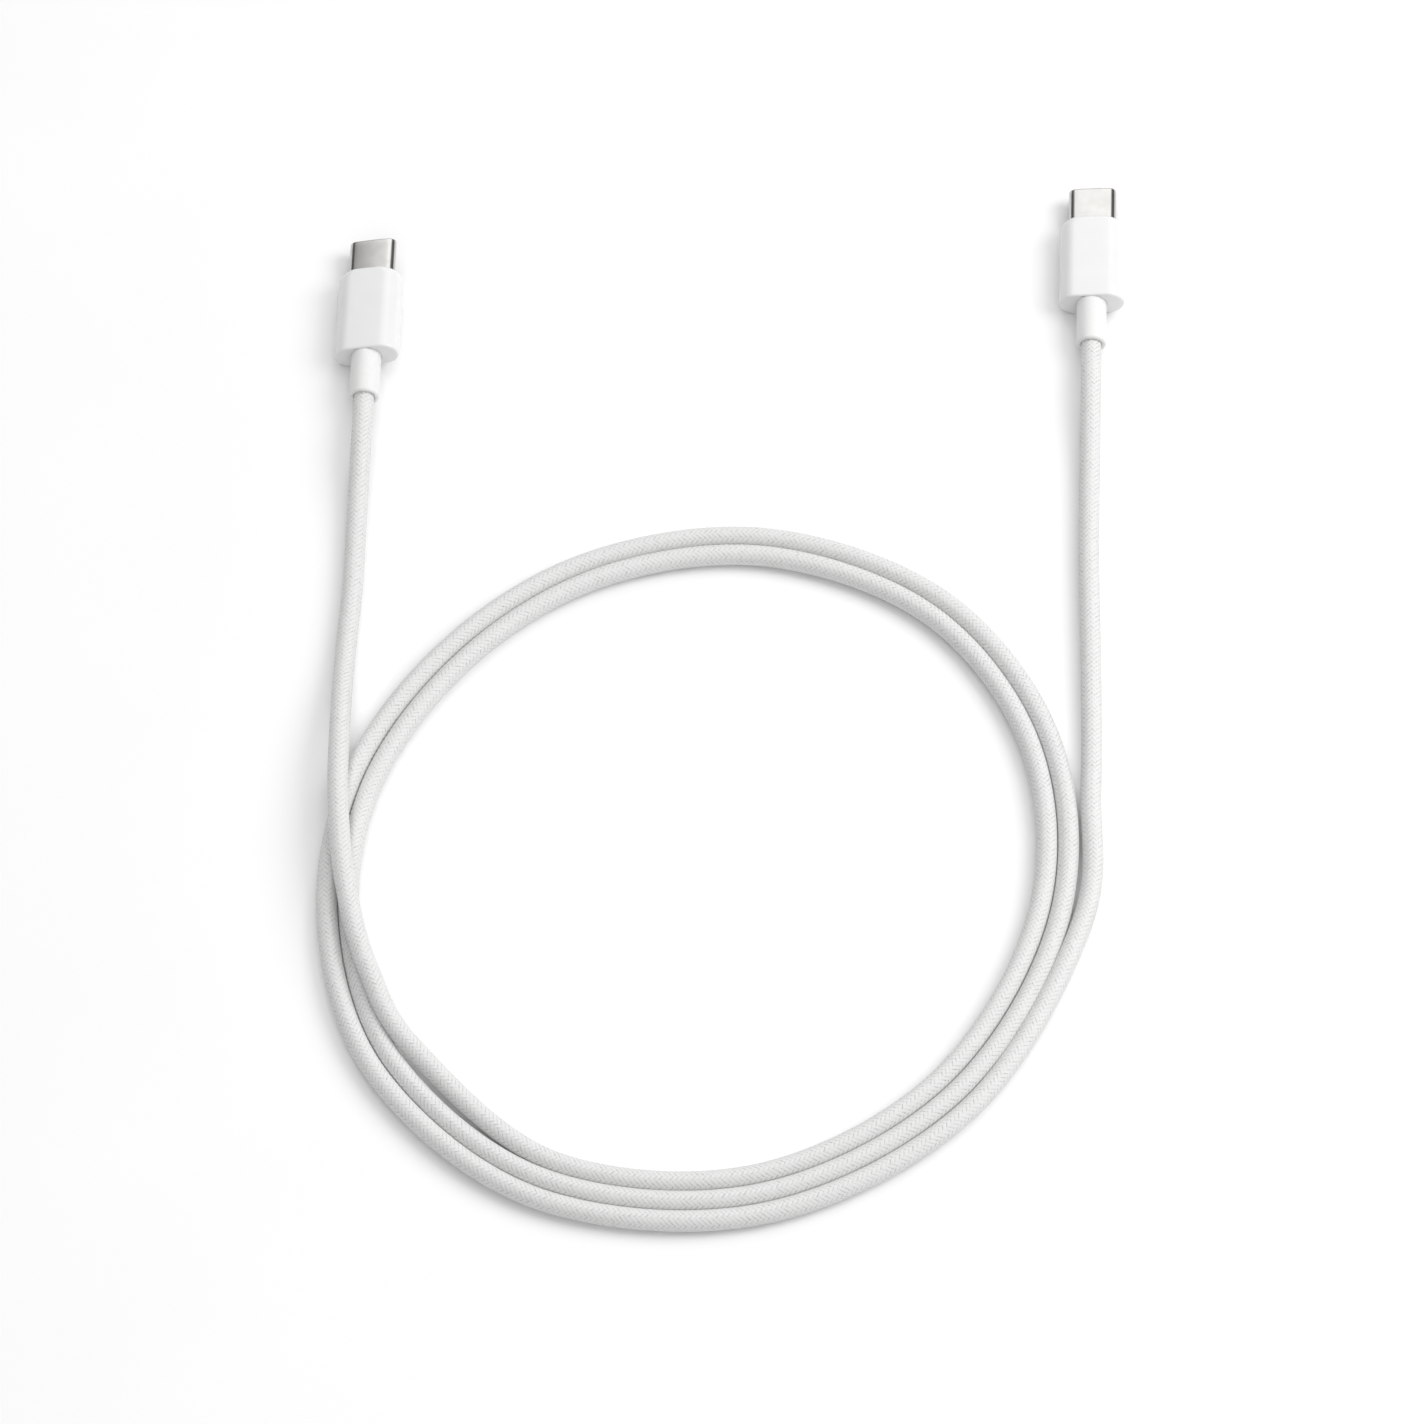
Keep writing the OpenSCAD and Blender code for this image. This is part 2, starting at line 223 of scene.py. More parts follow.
YARNS_EACH_WAY = 12
YARN_PITCH = 10.6  # along the cord, for one turn round it
YARN_STEP = 0.295  # from one point of a yarn to the next
YARN_W = 0.78
YARN_RISE = 0.09  # of a yarn's middle over its edges
YARN_BASE = 1.66  # from the cord's middle to a yarn's edges
WEAVE_LIFT = 0.05  # in and out, as a yarn crosses the others
COLUMNS = YARNS_EACH_WAY // 2
FILAMENTS = 7
FILAMENT_LEAN = 0.35  # filaments further across for each millimetre along
UNEVEN_GRAIN = 0.9
UNEVEN_SHARE = 0.4


def braid_tree(name):
    """The tree that lays one set of yarns round the curve it is given."""
    tree = bpy.data.node_groups.new(name, "GeometryNodeTree")
    ports = tree.interface
    ports.new_socket("Geometry", in_out="OUTPUT", socket_type="NodeSocketGeometry")
    ports.new_socket("Geometry", in_out="INPUT", socket_type="NodeSocketGeometry")
    sizes = ("Turns per metre", "Base radius", "Weave lift", "Yarn width", "Yarn rise", "Step")
    for size in sizes:
        ports.new_socket(size, in_out="INPUT", socket_type="NodeSocketFloat")
    ports.new_socket("Yarns", in_out="INPUT", socket_type="NodeSocketInt")
    ports.new_socket("Finish", in_out="INPUT", socket_type="NodeSocketMaterial")
    given = add(tree, "NodeGroupInput").outputs

    # One copy of the line for each yarn, with a point at every step
    line = add(
        tree,
        "GeometryNodeResampleCurve",
        {"Curve": given["Geometry"], "Length": given["Step"]},
        mode="LENGTH",
    ).outputs[0]
    copies = add(
        tree,
        "GeometryNodeDuplicateElements",
        {"Geometry": line, "Amount": given["Yarns"]},
        domain="SPLINE",
    ).outputs
    run = add(tree, "GeometryNodeSplineParameter").outputs["Length"]
    normal = add(tree, "GeometryNodeInputNormal").outputs[0]
    tangent = add(tree, "GeometryNodeInputTangent").outputs[0]
    across = add(
        tree, "ShaderNodeVectorMath", {0: tangent, 1: normal}, operation="CROSS_PRODUCT"
    ).outputs[0]

    # Each yarn's place round the cord, and which way is out there
    share = add(
        tree,
        "ShaderNodeMath",
        {0: copies["Duplicate Index"], 1: given["Yarns"]},
        operation="DIVIDE",
    ).outputs[0]
    turned = add(
        tree,
        "ShaderNodeMath",
        {0: run, 1: given["Turns per metre"], 2: share},
        operation="MULTIPLY_ADD",
    ).outputs[0]
    angle = add(tree, "ShaderNodeMath", {0: turned, 1: math.tau}, operation="MULTIPLY").outputs[0]
    cosine = add(tree, "ShaderNodeMath", {0: angle}, operation="COSINE").outputs[0]
    sine = add(tree, "ShaderNodeMath", {0: angle}, operation="SINE").outputs[0]
    out_up = add(
        tree, "ShaderNodeVectorMath", {0: normal, "Scale": cosine}, operation="SCALE"
    ).outputs[0]
    out_across = add(
        tree, "ShaderNodeVectorMath", {0: across, "Scale": sine}, operation="SCALE"
    ).outputs[0]
    outward = add(
        tree, "ShaderNodeVectorMath", {0: out_up, 1: out_across}, operation="ADD"
    ).outputs[0]

    # Six columns stand over the other set and six go under it, all round the cord
    phase = add(
        tree, "ShaderNodeMath", {0: angle, 1: COLUMNS, 2: -math.pi / 4}, operation="MULTIPLY_ADD"
    ).outputs[0]
    column = add(tree, "ShaderNodeMath", {0: phase}, operation="COSINE").outputs[0]
    radius = add(
        tree,
        "ShaderNodeMath",
        {0: column, 1: given["Weave lift"], 2: given["Base radius"]},
        operation="MULTIPLY_ADD",
    ).outputs[0]
    line = copies["Geometry"]
    marks = (
        ("outward", "FLOAT_VECTOR", outward),
        ("along", "FLOAT", run),
        ("height", "FLOAT", radius),
    )
    for mark, kind, value in marks:
        line = add(
            tree,
            "GeometryNodeStoreNamedAttribute",
            {"Geometry": line, "Name": mark, "Value": value},
            data_type=kind,
            domain="POINT",
        ).outputs[0]
    kept_out = add(
        tree, "GeometryNodeInputNamedAttribute", {"Name": "outward"}, data_type="FLOAT_VECTOR"
    ).outputs[0]
    kept_radius = add(
        tree, "GeometryNodeInputNamedAttribute", {"Name": "height"}, data_type="FLOAT"
    ).outputs[0]
    shift = add(
        tree, "ShaderNodeVectorMath", {0: kept_out, "Scale": kept_radius}, operation="SCALE"
    ).outputs[0]
    line = add(tree, "GeometryNodeSetPosition", {"Geometry": line, "Offset": shift}).outputs[0]
    line = add(
        tree, "GeometryNodeSetCurveNormal", {"Curve": line, "Normal": kept_out}, mode="FREE"
    ).outputs[0]

    # The yarn's own section: a low arch of three points, so that a metre of braid stays light
    half = add(
        tree, "ShaderNodeMath", {0: given["Yarn width"], 1: 0.5}, operation="MULTIPLY"
    ).outputs[0]
    other_half = add(tree, "ShaderNodeMath", {0: half, 1: -1}, operation="MULTIPLY").outputs[0]
    left = add(tree, "ShaderNodeCombineXYZ", {"Y": other_half}).outputs[0]
    right = add(tree, "ShaderNodeCombineXYZ", {"Y": half}).outputs[0]
    crown = add(
        tree, "ShaderNodeMath", {0: given["Yarn rise"], 1: 2}, operation="MULTIPLY"
    ).outputs[0]
    top = add(tree, "ShaderNodeCombineXYZ", {"X": crown}).outputs[0]
    arch = add(
        tree,
        "GeometryNodeCurveQuadraticBezier",
        {"Start": right, "Middle": top, "End": left},
    ).outputs[0]
    arch = add(
        tree, "GeometryNodeResampleCurve", {"Curve": arch, "Count": 3}, mode="COUNT"
    ).outputs[0]
    side = add(tree, "GeometryNodeSplineParameter").outputs["Factor"]
    arch = add(
        tree,
        "GeometryNodeStoreNamedAttribute",
        {"Geometry": arch, "Name": "across", "Value": side},
        data_type="FLOAT",
        domain="POINT",
    ).outputs[0]
    yarns = add(
        tree, "GeometryNodeCurveToMesh", {"Curve": line, "Profile Curve": arch}
    ).outputs[0]
    yarns = add(tree, "GeometryNodeSetShadeSmooth", {0: yarns}).outputs[0]
    yarns = add(tree, "GeometryNodeRealizeInstances", {0: yarns}).outputs[0]
    yarns = add(
        tree, "GeometryNodeSetMaterial", {"Geometry": yarns, "Material": given["Finish"]}
    ).outputs[0]
    add(tree, "NodeGroupOutput", {0: yarns})
    return tree


def made_by(tree, source, name, values):
    """The plain mesh that a tree of nodes makes from an object, with values for its inputs."""
    modifier = source.modifiers.new(name, "NODES")
    modifier.node_group = tree
    for port in tree.interface.items_tree:
        if port.in_out == "INPUT" and port.name in values:
            modifier[port.identifier] = values[port.name]
    graph = bpy.context.evaluated_depsgraph_get()
    mesh = bpy.data.meshes.new_from_object(
        source.evaluated_get(graph), preserve_all_data_layers=True, depsgraph=graph
    )
    source.modifiers.remove(modifier)
    mesh.name = name
    piece = bpy.data.objects.new(name, mesh)
    bpy.context.scene.collection.objects.link(piece)
    return piece


# Polyester multifilament yarn, braided: a dry white of low gloss, with fine filaments along each
# yarn, and painted shade that greys each yarn towards its edges, uneven from stitch to stitch.
# The filaments are drawn 0.11 mm apart, much coarser than real ones, which are too fine to show.
yarn_white, tree, shader = finish_of(
    "white_polyester_braided",
    "#E1E1E0",
    {"Roughness": 0.62, "IOR": 1.57, "Sheen Weight": 0.15, "Sheen Roughness": 0.4},
)
across = add(tree, "ShaderNodeAttribute", attribute_name="across").outputs["Fac"]
along = add(tree, "ShaderNodeAttribute", attribute_name="along").outputs["Fac"]
twist = add(
    tree, "ShaderNodeMath", {0: along, 1: FILAMENT_LEAN / MM}, operation="MULTIPLY"
).outputs[0]
lines = add(
    tree, "ShaderNodeMath", {0: across, 1: FILAMENTS, 2: twist}, operation="MULTIPLY_ADD"
).outputs[0]
turned = add(tree, "ShaderNodeMath", {0: lines, 1: math.tau}, operation="MULTIPLY").outputs[0]
ridges = add(tree, "ShaderNodeMath", {0: turned}, operation="SINE").outputs[0]
# Painted shade: each yarn is drawn greyer towards its edges, where it meets the next, and a random
# cloud makes that shade uneven from stitch to stitch
middle = add(tree, "ShaderNodeMath", {0: across, 1: 0.5}, operation="SUBTRACT").outputs[0]
edge = add(tree, "ShaderNodeMath", {0: middle}, operation="ABSOLUTE").outputs[0]
uneven_and_edge_shade = add(
    tree,
    "ShaderNodeMath",
    {0: cloud(tree, UNEVEN_GRAIN), 1: UNEVEN_SHARE, 2: edge},
    operation="MULTIPLY_ADD",
).outputs[0]
shade(tree, shader, uneven_and_edge_shade, "#E3E3E2", "#B6B6B5", low=0.48, high=0.72)
relief(tree, shader, ridges, 0.008, strength=0.6)

core_line = cord_curve("braid_line")
braid = braid_tree("braid")
for hand, name in ((1, "braid_clockwise"), (-1, "braid_counterclockwise")):
    yarn_values = {
        "Turns per metre": hand / (YARN_PITCH * MM),
        "Base radius": YARN_BASE * MM,
        "Weave lift": hand * WEAVE_LIFT * MM,
        "Yarn width": YARN_W * MM,
        "Yarn rise": YARN_RISE * MM,
        "Step": YARN_STEP * MM,
        "Yarns": YARNS_EACH_WAY,
        "Finish": yarn_white,
    }
    yarns = made_by(braid, core_line, name, yarn_values)
    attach(yarns, "root")
bpy.data.objects.remove(core_line)

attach(cord, "root")
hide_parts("cord")


# ---- Sleeves ----
# A short tube of white elastomer behind each casing, which keeps the cord from kinking. It is
# moulded over the cord's end, with a flange that the casing grips, and has a rounded lip.

SIDES = ("left", "right")
ROLL = (13.5, 6.5)
END_STEPS = 28
FLAT_STEPS = 12
END_SPAN = 130  # degrees of a circle that answer to one round end
SLEEVE_R = 2.6
SLEEVE_HOLE_R = 1.815
CORE_R = 1.9
FLANGE = (3.95, 2.08)  # half its width and half its thickness
SHARP_ANGLE = 40
# From the outside of the lip round to its inside: radius, and how far behind the casing
LIP = (
    (2.575, 8.22), (2.50, 8.34), (2.40, 8.43), (2.28, 8.48), (2.15, 8.50),
    (2.02, 8.48), (1.91, 8.41), (1.84, 8.30), (SLEEVE_HOLE_R, 8.15),
)


def lay(side):
    """Where a plug lies: from its own axes (x across, y up, z to the tip) to the part's frame."""
    to_frame = Matrix(((-1, 0, 0, 0), (0, 0, 1, 0), (0, 1, 0, 0), (0, 0, 0, 1)))
    roll = Matrix.Rotation(-math.radians(ROLL[side]), 4, "Y")
    place = Matrix.Translation((PLUG_X[side], BACK_Y[side], AXIS_Z[side]))
    return Matrix.Scale(MM, 4) @ place @ roll @ to_frame


def round_ended(half_w, half_t, z):
    """A ring of points in the outline of a bar with round ends, counterclockwise."""
    flat = half_w - half_t
    ring = []
    for end in (1, -1):
        for i in range(END_STEPS + 1):
            angle = math.pi * (i / END_STEPS - 0.5) + (0 if end > 0 else math.pi)
            ring.append((end * flat + half_t * math.cos(angle), half_t * math.sin(angle), z))
        for i in range(1, FLAT_STEPS):
            ring.append((end * flat * (1 - 2 * i / FLAT_STEPS), end * half_t, z))
    return ring


def circle(radius, z):
    """A ring of as many points round a circle, with the same share of them at each end."""
    ring = []
    for end in (1, -1):
        middle = 0 if end > 0 else math.pi
        for i in range(END_STEPS + 1):
            angle = middle + math.radians(END_SPAN) * (i / END_STEPS - 0.5)
            ring.append((radius * math.cos(angle), radius * math.sin(angle), z))
        for i in range(1, FLAT_STEPS):
            angle = middle + math.radians(END_SPAN / 2 + (180 - END_SPAN) * i / FLAT_STEPS)
            ring.append((radius * math.cos(angle), radius * math.sin(angle), z))
    return ring


def lofted(name, rings, side, material, node):
    """A closed ring-shaped piece whose skin runs from each ring to the next and back."""
    count = len(rings[0])
    place = lay(side)
    points = [place @ Vector(p) for ring in rings for p in ring]
    faces = []
    for i in range(len(rings)):
        here, there = i * count, (i + 1) % len(rings) * count
        for j in range(count):
            k = (j + 1) % count
            faces.append((here + j, here + k, there + k, there + j))
    mesh = bpy.data.meshes.new(name)
    mesh.from_pydata(points, [], faces)
    mesh.shade_smooth()
    mesh.set_sharp_from_angle(angle=math.radians(SHARP_ANGLE))
    mesh.materials.append(material)
    piece = bpy.data.objects.new(name, mesh)
    bpy.context.scene.collection.objects.link(piece)
    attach(piece, "root")
    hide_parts(node)
    return piece


def polish(tree, shader, pattern, smooth, rough):
    """Sets the shader's roughness from smooth to rough as the pattern goes from 0.3 to 0.7."""
    share = {0: pattern, 1: 0.3, 2: 0.7, 3: smooth, 4: rough}
    spread = add(tree, "ShaderNodeMapRange", share).outputs[0]
    tree.links.new(spread, shader.inputs["Roughness"])


# Thermoplastic elastomer, moulded: a slightly softer white than the casing, with a fine matt skin
sleeve_white, tree, shader = finish_of(
    "white_elastomer_moulded",
    "#E9E9E8",
    {"Roughness": 0.42, "IOR": 1.50},
)
skin = cloud(tree, 0.35, detail=3.0)
shade(tree, shader, skin, "#E7E7E6", "#EBEBEA")
polish(tree, shader, skin, 0.38, 0.48)
relief(tree, shader, skin, 0.004)

sleeve_rings = [
    circle(CORE_R, 0), circle(CORE_R, 2), round_ended(*FLANGE, 2), round_ended(*FLANGE, 1),
    *[circle(SLEEVE_R, z) for z in (1, -1, -4.5, -8.08)],
    *[circle(radius, -behind) for radius, behind in LIP],
    circle(SLEEVE_HOLE_R, 0),
]
for side, word in enumerate(SIDES):
    lofted(
        word + "_sleeve_body", sleeve_rings, side, sleeve_white, word + "_sleeve"
    )


# ---- Casings ----
# A smooth white grip moulded in one shot over the finished plug, with round sides, softly
# rounded front corners and slightly bowed faces. Rigid glossy plastic; the shell stands out of
# its front face.

CASING_L = 17.0
CASING_W = 11.4
CASING_T = 5.8
CORNER_R = 2.2
NOSE_R = 0.9
REAR_R = 0.4
CASING_CROWN = 0.05
CAVITY = (4.9, 2.1)  # half its width and half its thickness
REAR_WALL = 1
FRONT_WALL = 1.2
REAR_STEPS = 6
NOSE_STEPS = 24
NOSE_CROWDING = 1.6
FACE_EDGE = 0.09  # how far the nose stops beside the shell
SHELL_W = 8.25
SHELL_T = 2.4

# Polycarbonate, moulded in a polished tool: a clean bright white that shows soft reflections
casing_white, tree, shader = finish_of(
    "white_polycarbonate_moulded",
    "#EAEAEA",
    {"Roughness": 0.24, "IOR": 1.585},
)
flow = cloud(tree, 4.0, detail=1.0)
shade(tree, shader, flow, "#E9E9E9", "#EBEBEB")
relief(tree, shader, cloud(tree, 2.0, detail=0.0), 0.0008)


def round_in(reach, radius):
    """How far in a rounded edge has come, this far short of where the face is flat."""
    left = max(radius - reach, 0)
    return radius - math.sqrt(radius * radius - left * left)


def crowned(rings, width, crown):
    """The rings with their faces bowed a little, lower at the sides by this share."""
    return [[(x, y * (1 - crown * (x / width * 2) ** 2), z) for x, y, z in ring] for ring in rings]


# The sleeve's hole and its rim, then the rounded rear edge and the straight sides
casing_rings = [circle(SLEEVE_R, REAR_WALL)]
casing_rings += [circle(2.605, 0.14), circle(2.64, 0.04), circle(2.72, 0)]
for i in range(REAR_STEPS + 1):
    turn = math.pi / 2 * i / REAR_STEPS
    inset = REAR_R * (1 - math.sin(turn))
    casing_rings.append(
        round_ended(CASING_W / 2 - inset, CASING_T / 2 - inset, REAR_R * (1 - math.cos(turn)))
    )
for z in (3, 6, 9, 12):
    casing_rings.append(round_ended(CASING_W / 2, CASING_T / 2, z))
# The rounded nose, in rings that crowd together towards its front
for i in range(NOSE_STEPS - 1):
    short = CORNER_R * (1 - i / NOSE_STEPS) ** NOSE_CROWDING
    half_w = CASING_W / 2 - round_in(short, CORNER_R)
    half_t = CASING_T / 2 - round_in(short, NOSE_R)
    casing_rings.append(round_ended(max(half_w, SHELL_W / 2 + FACE_EDGE), half_t, CASING_L - short))
# The front face, the shell's hole with its rounded rim, and the hollow inside
for beside, half_t in ((0.085, 2.0), (0.08, 1.7)):
    casing_rings.append(round_ended(SHELL_W / 2 + beside, half_t, CASING_L))
for beside, behind in ((0.07, 0), (0.03, 0.03), (0.01, 0.1), (0.01, FRONT_WALL)):
    casing_rings.append(
        round_ended(SHELL_W / 2 + beside, SHELL_T / 2 + beside, CASING_L - behind)
    )
casing_rings += [round_ended(*CAVITY, CASING_L - FRONT_WALL), round_ended(*CAVITY, REAR_WALL)]
casing_rings = crowned(casing_rings, CASING_W, CASING_CROWN)
for side, word in enumerate(SIDES):
    lofted(
        word + "_casing_body", casing_rings, side, casing_white, word + "_casing"
    )


# ---- Shells ----
# The part that enters the socket: a seamless tube, deep-drawn from stainless steel 0.3 mm thick,
# nickel-plated and polished. Its faces are slightly bowed, and its mouth is rolled over so that
# it slides in.

SHELL_Z = 12.0  # where the tube starts, inside the casing
TIP_Z = 23.65
TIP_STEPS = 8
TIP_IN = 0.24
TIP_L = 0.34
WALL = 0.3
INNER_EDGE = 0.02
SHELL_CROWN = 0.14

# Nickel over stainless steel, polished: a bright, slightly warm mirror with faint drawing lines
nickel, tree, shader = finish_of("nickel_polished", "#C4C3C1", {"Metallic": 1, "Roughness": 0.16})
drawing = cloud(tree, 0.25, detail=4.0, stretch=(1, 0.04, 1))
shade(tree, shader, cloud(tree, 2.5), "#C0BFBD", "#C8C7C5")
polish(tree, shader, drawing, 0.11, 0.20)
relief(tree, shader, drawing, 0.0015)

shell_rings = [round_ended(SHELL_W / 2, SHELL_T / 2, z) for z in (SHELL_Z, 14, 17, 20, 22.6)]
for i in range(1, TIP_STEPS + 1):
    turn = math.pi / 2 * i / TIP_STEPS
    inset = TIP_IN * (1 - math.cos(turn))
    z = TIP_Z - TIP_L + TIP_L * math.sin(turn)
    shell_rings.append(round_ended(SHELL_W / 2 - inset, SHELL_T / 2 - inset, z))
shell_rings += [
    round_ended(
        SHELL_W / 2 - WALL + INNER_EDGE, SHELL_T / 2 - WALL + INNER_EDGE, TIP_Z - INNER_EDGE
    ),
    round_ended(SHELL_W / 2 - WALL, SHELL_T / 2 - WALL, TIP_Z - 0.08),
    round_ended(SHELL_W / 2 - WALL, SHELL_T / 2 - WALL, SHELL_Z),
]
shell_rings = crowned(shell_rings, SHELL_W, SHELL_CROWN)
for side, word in enumerate(SIDES):
    lofted(word + "_shell_tube", shell_rings, side, nickel, word + "_shell")


# ---- Insulators ----
# The black block inside each shell, injection-moulded in liquid-crystal polymer. The contacts
# are pushed into its channels from behind, and its slot takes the socket's tongue.


def dress(ending, material):
    """Gives a finish to the CAD node of that name on each plug that has one."""
    for word in SIDES:
        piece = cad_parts.get(word + "_" + ending)
        if piece is not None:
            piece.data.materials.clear()
            piece.data.materials.append(material)


# Glass-filled liquid-crystal polymer, moulded: matt black with a faint flow grain
insulator_black, tree, shader = finish_of(
    "black_liquid_crystal_polymer_moulded", "#17171A", {"Roughness": 0.5, "IOR": 1.6}
)
fill = cloud(tree, 0.3, detail=4.0)
shade(tree, shader, fill, "#131316", "#1E1E22")
polish(tree, shader, fill, 0.42, 0.58)
relief(tree, shader, fill, 0.003)
dress("front_housing", insulator_black)


# ---- Contacts ----
# Two rows of twelve springs in each plug, stamped from copper alloy strip and gold-plated over
# nickel, pressed into the insulator and soldered to the board.

# Hard gold plating: a warm yellow mirror, rubbed a little paler where it has been pushed in
gold, tree, shader = finish_of("gold_plated", "#E8C069", {"Metallic": 1, "Roughness": 0.22})
rubbed = cloud(tree, 0.4, detail=3.0)
shade(tree, shader, rubbed, "#E0B45A", "#F0CD7E")
polish(tree, shader, rubbed, 0.16, 0.28)
dress("upper_contacts", gold)
dress("lower_contacts", gold)


# ---- Latches and ground springs ----
# Each plug has a flat latch plate, blanked from spring steel, whose two arms click into the
# socket's tongue, and two thin finger springs that earth the tongue. All are pressed in.

# Stainless spring steel, rolled and blanked: a grey satin with fine lines along the strip
spring_steel, tree, shader = finish_of("spring_steel_rolled", "#B9B8B5", {"Metallic": 1})
rolled = cloud(tree, 0.2, detail=4.0, stretch=(1, 0.06, 1))
shade(tree, shader, rolled, "#A9A8A5", "#C6C5C2")
polish(tree, shader, rolled, 0.24, 0.38)
relief(tree, shader, rolled, 0.002)
dress("latch", spring_steel)
dress("ground_springs", spring_steel)


# ---- Boards ----
# A small glass-epoxy board in each plug, 0.6 mm thick, that joins the contacts to the wires.
# Its solder mask is printed on, over etched copper.

# Green solder mask: glossy, and a little lighter where copper lies under it
mask_green, tree, shader = finish_of(
    "green_solder_mask", "#1C5A36", {"Roughness": 0.3, "IOR": 1.52, "Coat Weight": 0.3}
)
shade(tree, shader, cloud(tree, 0.9, detail=0.0), "#174C2D", "#27713F", low=0.48, high=0.52)
relief(tree, shader, cloud(tree, 0.12), 0.002)
dress("paddle_board", mask_green)


# ---- Chips ----
# The right plug's marker chip tells the charger what current the cord carries: a black epoxy
# package, soldered down. Small resistors and capacitors stand beside it and on the other board.

# Filled epoxy, transfer-moulded: dull near-black with a fine sandy grain
epoxy_black, tree, shader = finish_of("black_epoxy_moulded", "#1B1B1C", {"Roughness": 0.65})
sand = cloud(tree, 0.06, detail=2.0)
shade(tree, shader, sand, "#161617", "#242425")
relief(tree, shader, sand, 0.003)
dress("marker_chip", epoxy_black)

# Barium titanate ceramic, fired: a dry tan, speckled
ceramic_tan, tree, shader = finish_of("tan_ceramic_fired", "#A5825F", {"Roughness": 0.5})
speck = cloud(tree, 0.05, detail=3.0)
shade(tree, shader, speck, "#95734F", "#B79570")
polish(tree, shader, speck, 0.4, 0.6)
dress("chip_parts", ceramic_tan)


# ---- Shield cans ----
# Two half shells over each board, stamped from tinned steel 0.2 mm thick and soldered together,
# so that the fast signals don't leak.

# Tinned steel, stamped: a soft grey-white metal with blotches where the tin has flowed
tin, tree, shader = finish_of("tinned_steel_stamped", "#C9C9C6", {"Metallic": 1})
flowed = cloud(tree, 0.8, detail=3.0)
shade(tree, shader, flowed, "#B9B9B6", "#D6D6D3")
polish(tree, shader, flowed, 0.28, 0.45)
relief(tree, shader, flowed, 0.004)
dress("upper_shield_can", tin)
dress("lower_shield_can", tin)


# ---- Crimp rings and screens ----
# The cord's wire screen is folded back over its core, and a ring is pressed round it, which
# ties the cord to the plug and earths the screen.

# Nickel-washed brass, turned and pressed: pale gold metal with fine turning lines round it
crimp_brass, tree, shader = finish_of("brass_nickel_washed", "#CDBE93", {"Metallic": 1})
turning = cloud(tree, 0.15, detail=3.0, stretch=(0.1, 1, 0.1))
shade(tree, shader, turning, "#BFAE80", "#D9CCA6")
polish(tree, shader, turning, 0.25, 0.38)
dress("crimp_ring", crimp_brass)

# Tinned copper wire, braided: thin bright strands, about 0.1 mm thick, that cross one another
screen_copper, tree, shader = finish_of("tinned_copper_braided", "#BFB3A6", {"Metallic": 1})
STRAND = 0.1
WAVE_PERIOD = 0.314  # of a wave texture whose scale is 1
place = add(tree, "ShaderNodeTexCoord").outputs["Object"]
strands = []
for lean in (45, -45):
    leaned = {"Vector": place, "Rotation": (0, 0, math.radians(lean))}
    turned = add(tree, "ShaderNodeMapping", leaned).outputs[0]
    wave = {"Vector": turned, "Scale": WAVE_PERIOD / (STRAND * MM)}
    strands.append(add(tree, "ShaderNodeTexWave", wave).outputs["Fac"])
crossed = add(
    tree, "ShaderNodeMath", {0: strands[0], 1: strands[1]}, operation="MAXIMUM"
).outputs[0]
shade(tree, shader, crossed, "#8F8172", "#D2C8BC", low=0.2, high=0.9)
polish(tree, shader, crossed, 0.45, 0.28)
relief(tree, shader, crossed, 0.03)
dress("shield_braid", screen_copper)


# ---- Wires and jacket ends ----
# Six insulated copper wires leave each end of the cord and fan out to the two faces of the
# board, where they are soldered. The jacket's end is clamped inside the sleeve.

# Fluoropolymer insulation, extruded: a waxy red with a soft shine
insulation_red, tree, shader = finish_of(
    "red_fluoropolymer_extruded", "#A8231C", {"Roughness": 0.35, "IOR": 1.38}
)
waxy = cloud(tree, 0.4)
shade(tree, shader, waxy, "#9C1E18", "#B62A21")
polish(tree, shader, waxy, 0.3, 0.42)
dress("wires", insulation_red)
dress("jacket_end", jacket_white)


# ---- Inner moulds ----
# A first shot of hard polyethylene around each board and its cans. It keeps the solder joints
# still and fills the casing, so that the casing doesn't sink in as it cools.

# Natural polyethylene, moulded: a cloudy off-white, a little see-through at thin edges
natural_resin, tree, shader = finish_of(
    "natural_polyethylene_moulded",
    "#DAD9D2",
    {"Roughness": 0.45, "IOR": 1.51, "Subsurface Weight": 0.3, "Subsurface Scale": 0.0015},
)
milky = cloud(tree, 1.2)
shade(tree, shader, milky, "#D2D1C9", "#E1E0DA")
relief(tree, shader, milky, 0.006)
dress("inner_mould", natural_resin)


# ---- Table and light ----
# A plain pale table top in a dim room, paler low down all round. A long soft light hangs over it
# from front to back, and a soft lamp stands on the right. The back wall is the darkest, so that
# metal has dark edges.

TABLE_REACH = 6
LAMP_PLACE = Vector((0.92, 0.09, 0.90))
LAMP_TARGET = Vector((0, -0.07, 0))
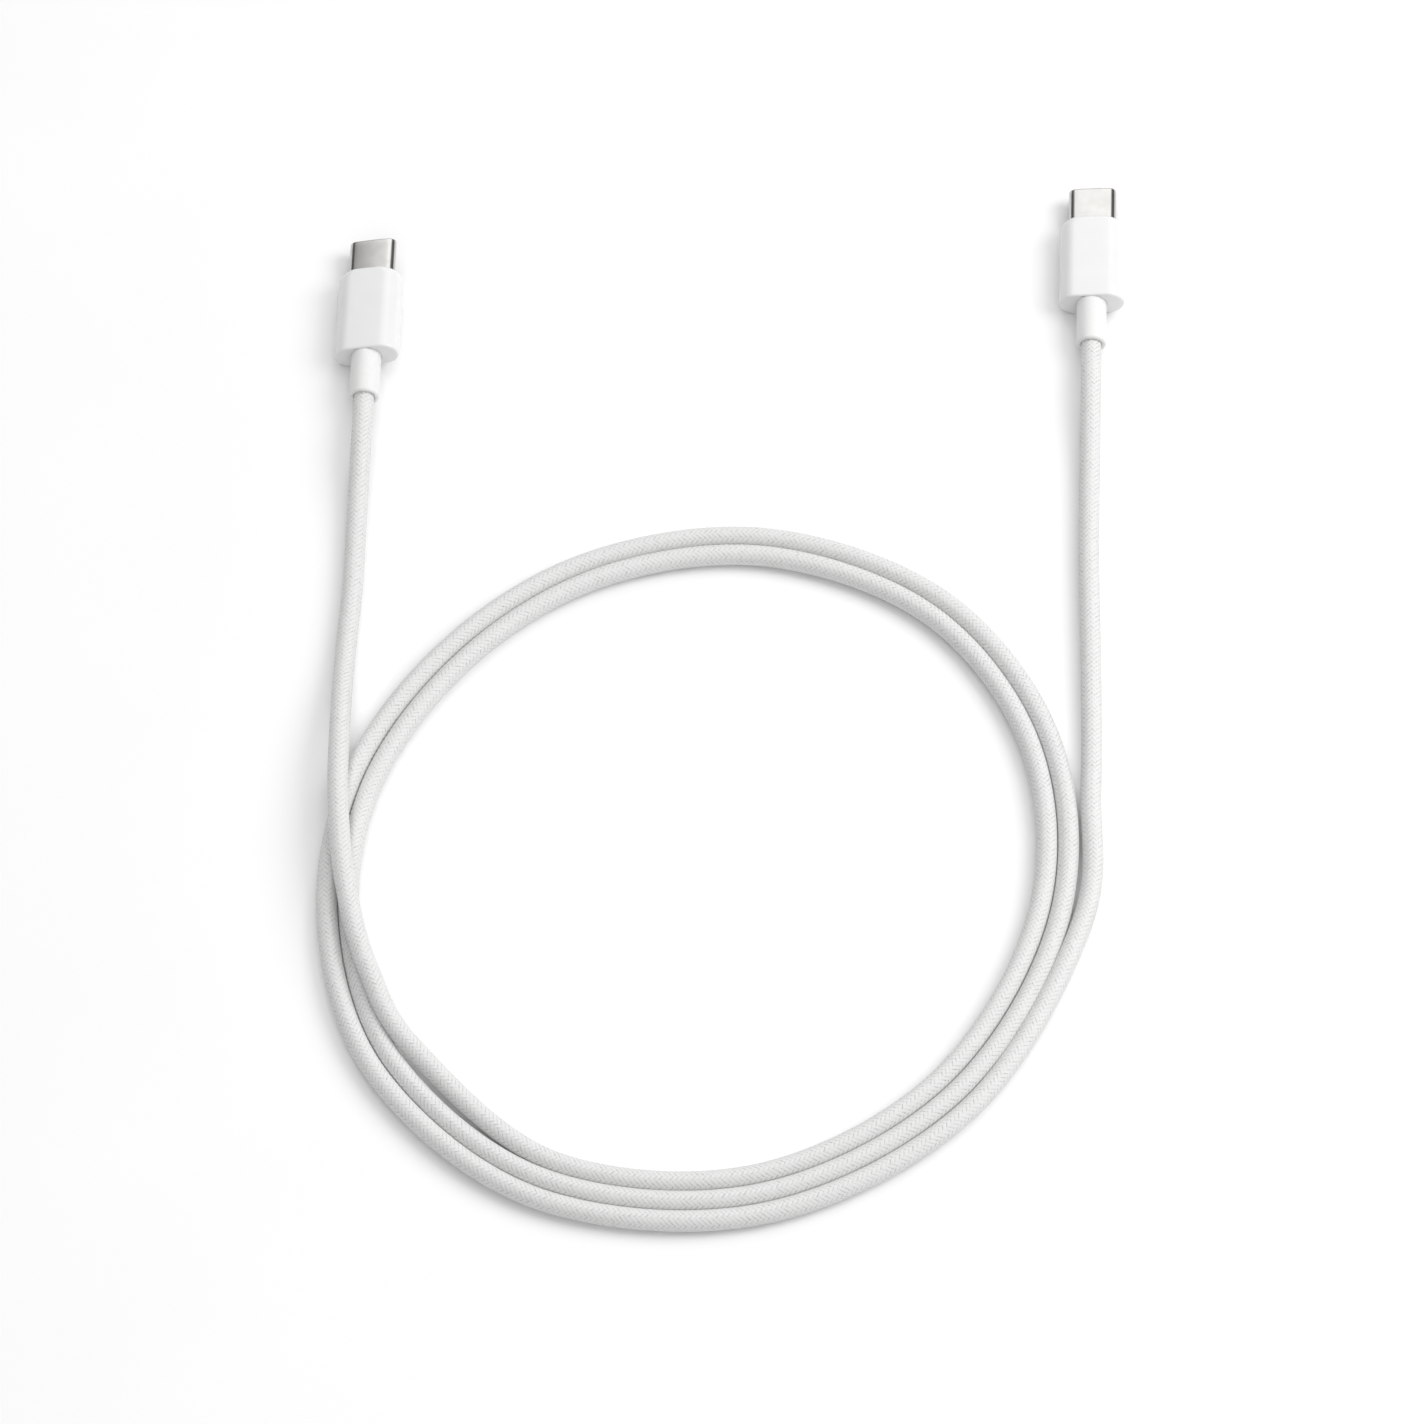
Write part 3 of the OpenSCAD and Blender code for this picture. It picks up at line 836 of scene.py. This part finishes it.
# Each row: an axis of the direction in which the room is seen, from where to where along it a
# brightness changes, and its value at both ends. The light's rows are multiplied, and the walls'
# rows are added.
LIGHT = (
    ("X", -0.68, -0.2, 0, 1.5),
    ("X", 0.3, 0.55, 1, 0),
    ("Z", 0.15, 0.6, 0, 1),
    ("Y", -0.2, 0.3, 0.5, 1),
)
WALLS = (("Y", -0.5, 0.4, 0.24, 0.14), ("Z", 0.05, 0.16, 0.5, 0))

table_white, tree, shader = finish_of("table_matt_paint", "#FAFAFA", {"Roughness": 0.9})
shade(tree, shader, cloud(tree, 60.0), "#F9F9F9", "#FBFBFB")
table_data = bpy.data.meshes.new("table")
corners = [(x * TABLE_REACH, y * TABLE_REACH, 0) for x, y in ((-1, -1), (1, -1), (1, 1), (-1, 1))]
table_data.from_pydata(corners, [], [(0, 1, 2, 3)])
table_data.materials.append(table_white)
table = bpy.data.objects.new("table", table_data)
bpy.context.scene.collection.objects.link(table)

lamp_data = bpy.data.lights.new("soft_lamp", "AREA")
lamp_data.shape = "DISK"
lamp_data.size = 0.9
lamp_data.energy = 9.5
lamp = bpy.data.objects.new("soft_lamp", lamp_data)
bpy.context.scene.collection.objects.link(lamp)
lamp_turn = (LAMP_TARGET - LAMP_PLACE).to_track_quat("-Z", "Y").to_matrix().to_4x4()
lamp.matrix_world = Matrix.Translation(LAMP_PLACE) @ lamp_turn

room = bpy.data.worlds.new("room")
bpy.context.scene.world = room
room.use_nodes = True
tree = room.node_tree
way = add(tree, "ShaderNodeTexCoord").outputs["Generated"]
way = add(tree, "ShaderNodeSeparateXYZ", {0: way}).outputs


def room_part(rows, operation):
    """The brightness of one part of the room, from its rows."""
    total = None
    for axis, start, end, first, last in rows:
        share = {0: way[axis], 1: start, 2: end, 3: first, 4: last}
        made = add(tree, "ShaderNodeMapRange", share, interpolation_type="SMOOTHSTEP").outputs[0]
        if total is not None:
            made = add(tree, "ShaderNodeMath", {0: total, 1: made}, operation=operation).outputs[0]
        total = made
    return total


brightness = add(
    tree,
    "ShaderNodeMath",
    {0: room_part(LIGHT, "MULTIPLY"), 1: room_part(WALLS, "ADD")},
    operation="ADD",
).outputs[0]
tree.links.new(brightness, tree.nodes["Background"].inputs["Strength"])
tree.nodes["Background"].inputs["Color"].default_value = linear("#FFFFFF")

bpy.context.scene.view_settings.view_transform = "Standard"
bpy.context.scene.view_settings.look = "None"
